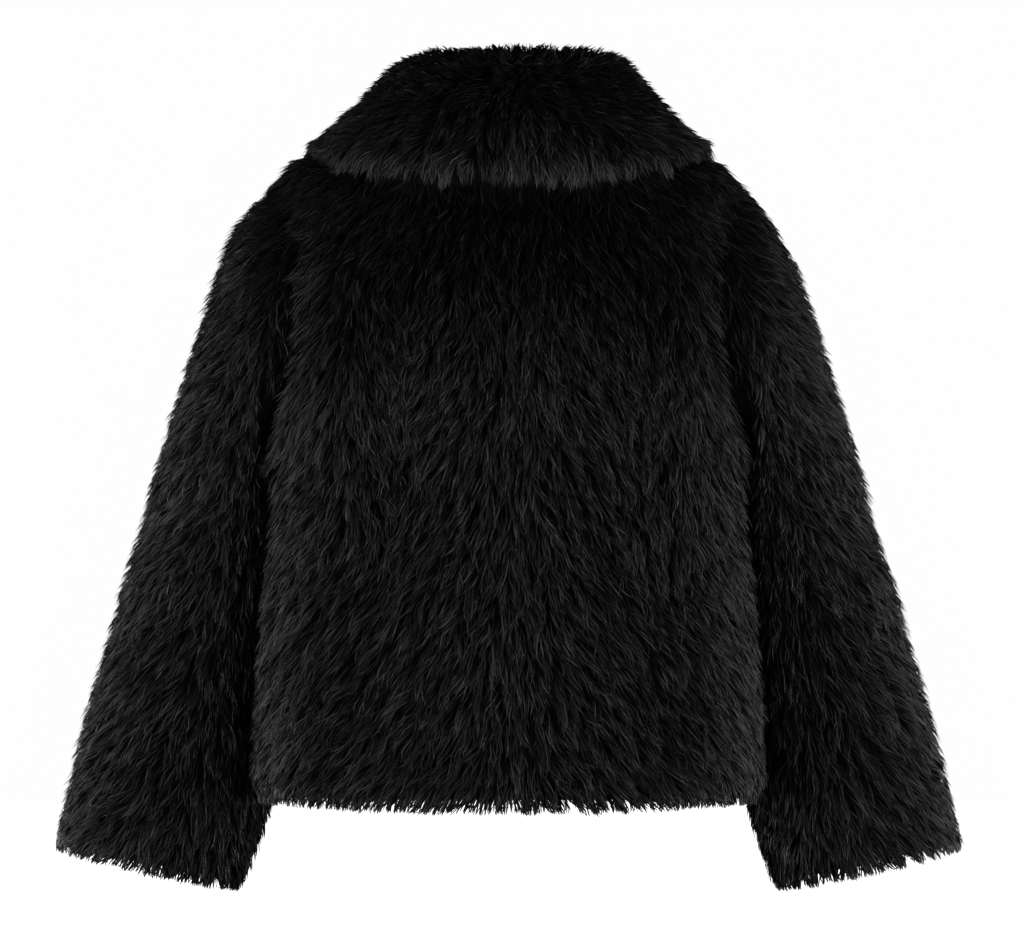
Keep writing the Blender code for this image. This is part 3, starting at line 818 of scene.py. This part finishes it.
def roots(panel, number, upper):
    """Where locks start, evenly by area and weight: cells of the grid and shares within them."""
    down, along = np.diff(panel.outer, axis=0), np.diff(panel.outer, axis=1)
    if panel.ring:
        closing = panel.outer[:, :1] - panel.outer[:, -1:]
        along = np.concatenate((along, closing), axis=1)
    columns = along.shape[1]
    area = np.linalg.norm(down[:, :columns], axis=-1) * np.linalg.norm(along[:-1], axis=-1)
    weight = area * panel.weight[:-1, :columns]
    if upper is not None:
        high = np.arange(len(area)) >= len(area) // 2
        weight = weight * (high if upper else ~high)[:, None]
    total = np.cumsum(weight.ravel())
    places = (np.arange(number) + rng.random(number)) * total[-1] / number
    picked = np.minimum(np.searchsorted(total, places), len(total) - 1)
    r, c = np.divmod(picked, columns)
    return r, c, rng.random(number), rng.random(number)


def read(grid, r, c, fr, fc, ring):
    """A grid's values between its points."""
    columns = grid.shape[1]
    d = (c + 1) % columns if ring else c + 1
    if grid.ndim > 2:
        fr, fc = fr[:, None], fc[:, None]
    low = grid[r, c] * (1 - fc) + grid[r, d] * fc
    high = grid[r + 1, c] * (1 - fc) + grid[r + 1, d] * fc
    return low * (1 - fr) + high * fr


def clumps(points, size):
    """The nearest of a scatter of centres for each point, and the chances that go with it."""
    cell = np.floor(points / size).astype(int)
    best = np.full(len(points), 9.0)
    centre, chance = points.copy(), np.zeros((len(points), CHANCES))
    for dx in (-1, 0, 1):
        for dy in (-1, 0, 1):
            for dz in (-1, 0, 1):
                near = cell + (dx, dy, dz)
                key = near @ np.array((73856093, 19349663, 83492791)) & len(SCATTER) - 1
                place = (near + SCATTER[key, :3]) * size
                away = np.linalg.norm(place - points, axis=1)
                closer = away < best
                best[closer] = away[closer]
                centre[closer], chance[closer] = place[closer], SCATTER[key[closer], 3:]
    return centre, chance


def lock_rings(panel, place, root, centre, chance, wisp):
    """The middle of each lock at its root, at two rings and at its tip."""
    number = len(wisp)
    leaning, longer, lifted, curled, turned = chance.T
    base, normal = root.outer, unit(root.normal)
    edge, hang = root.edge, root.hang

    flow = unit(root.flow)
    standing = np.maximum(dot(flow, normal)[:, 0], 0)
    flow = unit(flow - normal * dot(flow, normal))
    side = np.cross(flow, normal)
    lean = np.radians(rng.normal(0, 6, number) + (leaning - 0.5) * 40)[:, None]
    flow = flow * np.cos(lean) + side * np.sin(lean)
    side = np.cross(flow, normal)
    pull = centre - base
    pull -= normal * dot(pull, normal)
    pull -= flow * dot(pull, flow)
    gathered = 0.2 + 0.8 * np.maximum(ease(edge, 0.012, 0.045), ease(hang, 0, 0.5))[:, None]
    furthest = 0.6 * panel.tuft
    pull *= gathered * np.minimum(furthest / np.linalg.norm(pull, axis=1, keepdims=True), 1)

    # A lock that runs towards a hem, cuff or edge stops a little past it.
    run = root.run * (0.82 + 0.36 * longer) * rng.uniform(0.8, 1.12, number)
    run = run * (1 - 0.25 * standing)
    r, c = place[:2]
    to_edge = unit(panel.outer[r, c] - panel.outer[r + 1, c])
    towards = dot(flow, to_edge)[:, 0]
    past = 0.002 + 0.0025 * longer + rng.uniform(0, 0.003, number)
    past += hang * (0.002 + 0.007 * longer - rng.uniform(0, 0.008, number))
    past -= hang * 0.9 * np.linalg.norm(pull, axis=1)
    most = (edge + past) / np.maximum(towards, 0.4)
    run = np.where(towards > 0.1, np.clip(run, 0.004, most), run)
    tip = root.rise + rng.normal(0, 0.0014, number) + (lifted - 0.55) * 0.5 * panel.tuft
    tip += 0.004 * standing * ease(-base[:, 2], 0.06, 0.12) + 0.0015 * wisp

    wave = rng.normal(0, 0.0011, number)[:, None] * (1 + 0.6 * wisp[:, None])
    wave_turn = rng.uniform(0, 2 * np.pi, number)[:, None]
    curl = ((curled - 0.5) * 0.006)[:, None] * gathered
    curl_turn = (turned * 2 * np.pi)[:, None]
    root_depth = np.linalg.norm(root.inner - base, axis=1) * root.pile
    follow, follow_way = root.follow[:, None], normal
    rings = []
    for step, lift in zip(STEPS, LIFTS):
        straight = base + flow * (run * step)[:, None] + pull * (0.88 * step**1.4)
        straight += side * wave * np.sin(wave_turn + step * 4) * step
        straight += side * curl * (np.sin(curl_turn + step * 4.5) - np.sin(curl_turn)) * 0.5
        straight[:, 2] -= 0.006 * hang * step**2
        if step > 0.5:
            there, way = on_skin(straight, normal)
            straight -= way * dot(straight - there, way) * follow
            follow_way = unit(normal * (1 - follow) + way * follow)
        left = edge - run * step * towards
        height = tip * step - root_depth * (1 - lift)
        height -= root.roll * np.clip(1 - left / 0.016, 0, 1.2) ** 2 * step
        rings.append(straight + follow_way * height[:, None])
    return np.array(rings)


def ribbons(rings, normal, wisp):
    """Seven points and normals for each lock, and whether they wind the right way."""
    number = len(wisp)
    way = unit(np.gradient(rings, axis=0))
    broad = unit(np.cross(way, normal))
    edge_on = rng.random(number) < 0.2
    roll = np.where(edge_on, rng.uniform(-1.4, 1.4, number), rng.normal(0, 0.6, number))[:, None]
    broad = unit(broad * np.cos(roll) + np.cross(way, broad) * np.sin(roll))
    front = unit(np.cross(broad, way))
    front *= np.sign(dot(front, normal))
    width = np.exp(rng.normal(np.log(LOCK_WIDTH), 0.28, number))[:, None] / 2
    width = width * (1 - 0.35 * wisp[:, None])
    vertices = np.empty((number, LOCK_POINTS, 3))
    normals = np.empty((number, LOCK_POINTS, 3))
    for j, share in enumerate(WIDTHS):
        for k, hand in enumerate((-1, 1)):
            vertices[:, 2 * j + k] = rings[j] + broad[j] * width * share * hand
            normals[:, 2 * j + k] = unit(front[j] + broad[j] * hand)
    vertices[:, -1], normals[:, -1] = rings[-1], front[-1]
    right_way = dot(np.cross(broad[0], way[0]), front[0]) > 0
    return vertices, normals, right_way


def lock_cells(chance, wisp, shade, rim):
    """Each point's place on the locks' map: a column at random, and the row for its tone with
    painted shade and painted rim light.
    """
    number = len(wisp)
    longer = chance[:, 1]
    cell_x = rng.integers(0, LOCK_COLUMNS, number)[:, None]
    plain_rows = int(LOCK_ROWS * (1 - WISP_ROWS))
    # Random tone, darkened by the painted shade and lifted by the painted rim light.
    tone = (0.1 + 0.4 * longer + 0.5 * rng.random(number)) * (1 - shade)
    tone = np.minimum(tone + 0.38 * rim * (0.3 + 1.4 * longer), 0.999)
    first_row = np.where(wisp, plain_rows, 0)
    last_row = np.where(wisp, LOCK_ROWS, plain_rows)
    cell_y = (first_row + tone * (last_row - first_row)).astype(int)[:, None]
    steps = np.repeat(STEPS[:3], 2)
    u = (cell_x + 0.04 + 0.92 * np.append(steps, 1.0)) / LOCK_COLUMNS
    v = (cell_y + np.array((0.25, 0.75) * 3 + (0.5,))) / LOCK_ROWS
    return np.stack((u, v), axis=-1)


def lock_mesh(name, vertices, normals, right_way, cells):
    """Two faces and a pointed third for each lock."""
    number = len(vertices)
    start = (np.arange(number) * LOCK_POINTS)[:, None]
    quads = np.where(right_way, (0, 1, 3, 2), (0, 2, 3, 1))
    tips = np.where(right_way, (4, 5, 6), (4, 6, 5))
    corners = np.concatenate((start + quads, start + quads + 2, start + tips), axis=1)
    first_corners = np.array((0, 4, 8))
    starts = (np.arange(number)[:, None] * corners.shape[1] + first_corners).ravel()
    corners = corners.ravel()
    mesh = bpy.data.meshes.new(name)
    mesh.vertices.add(number * LOCK_POINTS)
    mesh.vertices.foreach_set("co", vertices.ravel())
    mesh.loops.add(len(corners))
    mesh.loops.foreach_set("vertex_index", corners.astype(np.int32))
    mesh.polygons.add(len(starts))
    mesh.polygons.foreach_set("loop_start", starts.astype(np.int32))
    mesh.update(calc_edges=True)
    layer = mesh.uv_layers.new(name="OFBake")
    layer.data.foreach_set("uv", cells.reshape(-1, 2)[corners].ravel())
    mesh.shade_smooth()
    mesh.normals_split_custom_set_from_vertices(normals.reshape(-1, 3).tolist())
    return mesh


def locks(name, panel, number, upper=None):
    """Locks of long fur on one panel, or on its upper or lower part."""
    place = roots(panel, number, upper)
    read_there = {key: read(grid, *place, panel.ring) for key, grid in grids(panel).items()}
    root = panel._replace(**read_there)
    squash = COLLAR_SQUASH if panel.name == "collar" else TUFT_SQUASH
    drawn = np.array((1, 1, squash))
    centre, chance = clumps(root.outer * drawn, panel.tuft)
    # More of the lighter wisps, which are painted highlights, where the fringe hangs and under
    # the painted rim light, and fewer in the painted shade.
    light = (1 + 1.2 * np.maximum(root.hang, root.rim)) * (1 - 0.6 * root.shade)
    wisp = rng.random(number) < WISPS * (0.4 + 1.2 * chance[:, 1]) * light
    rings = lock_rings(panel, place, root, centre / drawn, chance, wisp)
    vertices, normals, right_way = ribbons(rings, unit(root.normal), wisp)
    cells = lock_cells(chance, wisp, root.shade, root.rim)
    mesh = lock_mesh(name, vertices, normals, right_way, cells)
    return add_piece(name, mesh, LOCK, panel.name)


# The flat cut of each panel: width and length of its rectangle, and its real area.
Flat = namedtuple("Flat", "width length area locks")
FLAT = {
    "back": Flat(0.66, 0.64, 0.33, 46000),
    "front_left": Flat(0.33, 0.60, 0.155, 18000),
    "front_right": Flat(0.33, 0.60, 0.155, 18000),
    "sleeve_left": Flat(0.58, 0.60, 0.25, 30000),
    "sleeve_right": Flat(0.58, 0.60, 0.25, 30000),
    "collar": Flat(0.80, 0.20, 0.13, 28000),
}
for panel in panels:
    flat = FLAT[panel.name]
    cloth = wall(panel.name + "_cloth", panel, CLOTH_TOP, 1.0, CLOTH)
    with_cloth = [wall(panel.name + "_pile", panel, panel.pile, CLOTH_TOP, PILE)]
    if panel.name == "back":
        with_cloth.append(locks("back_locks_upper", panel, flat.locks // 2, upper=True))
        with_cloth.append(locks("back_locks_lower", panel, flat.locks // 2, upper=False))
    else:
        with_cloth.append(locks(panel.name + "_locks", panel, flat.locks))

# ---- studio ------------------------------------------------------------------------------
scene = bpy.context.scene
scene.view_settings.view_transform = "Standard"
world = bpy.data.worlds.new("studio")
scene.world = world
world.use_nodes = True
sky = world.node_tree.nodes["Background"]
sky.inputs["Color"].default_value = (1, 1, 1, 1)
direction = world.node_tree.nodes.new("ShaderNodeTexCoord")
height = world.node_tree.nodes.new("ShaderNodeSeparateXYZ")
level = world.node_tree.nodes.new("ShaderNodeMath")
level.operation = "ABSOLUTE"
dim = world.node_tree.nodes.new("ShaderNodeMapRange")       # white walls, dark above and below
dim.interpolation_type = "SMOOTHSTEP"
dim.inputs["From Min"].default_value = 0.15
dim.inputs["From Max"].default_value = 0.75
dim.inputs["To Min"].default_value = 0.99
dim.inputs["To Max"].default_value = 0.15
world.node_tree.links.new(direction.outputs["Generated"], height.inputs[0])
world.node_tree.links.new(height.outputs["Z"], level.inputs[0])
world.node_tree.links.new(level.outputs[0], dim.inputs["Value"])
world.node_tree.links.new(dim.outputs["Result"], sky.inputs["Strength"])

FLOOR_RADIUS, FLOOR_Z = 14, -1.45
bpy.ops.mesh.primitive_circle_add(
    vertices=96, radius=FLOOR_RADIUS, fill_type="NGON", location=(0, 0, FLOOR_Z)
)
floor = bpy.context.object
floor.name = "floor"
floor_material, _, _, floor_shader = principled("floor", 0.9, 0.1)
floor_shader.inputs["Base Color"].default_value = (0.8, 0.8, 0.8, 1)
floor_shader.inputs["Emission Color"].default_value = (1, 1, 1, 1)
floor_shader.inputs["Emission Strength"].default_value = 1.3
floor.data.materials.append(floor_material)
floor.visible_diffuse = False                               # it lights nothing from below
floor.visible_glossy = False

LIGHT_SIZE, LIGHT_POWER = 1.2, 125
LIT_PLACE = Vector((0, 0, -0.3))


def soft_light(name, place):
    data = bpy.data.lights.new(name, "AREA")
    data.shape = "DISK"
    data.size = LIGHT_SIZE
    data.energy = LIGHT_POWER
    made = bpy.data.objects.new(name, data)
    made.location = place
    made.rotation_euler = (LIT_PLACE - Vector(place)).to_track_quat("-Z", "Y").to_euler()
    scene.collection.objects.link(made)


for x, side in ((2.3, "left"), (-2.3, "right")):
    soft_light("back_" + side, (x, 1.3, -0.55))
    soft_light("front_" + side, (x, -1.3, -0.5))

camera = bpy.data.objects.new("camera", bpy.data.cameras.new("camera"))
scene.collection.objects.link(camera)
scene.camera = camera
DISTANCE, MIDDLE = 5.0, Vector((-0.00315, 0, -0.3087))
SENSOR, VIEW_WIDTH = 36, 0.9216          # millimetres, and metres across at the jacket
camera.location = MIDDLE + Vector((0, DISTANCE, 0))
camera.rotation_euler = (np.pi / 2, 0, np.pi)
camera.data.sensor_width = SENSOR
camera.data.lens = SENSOR * DISTANCE / VIEW_WIDTH
camera.data.clip_end = 60
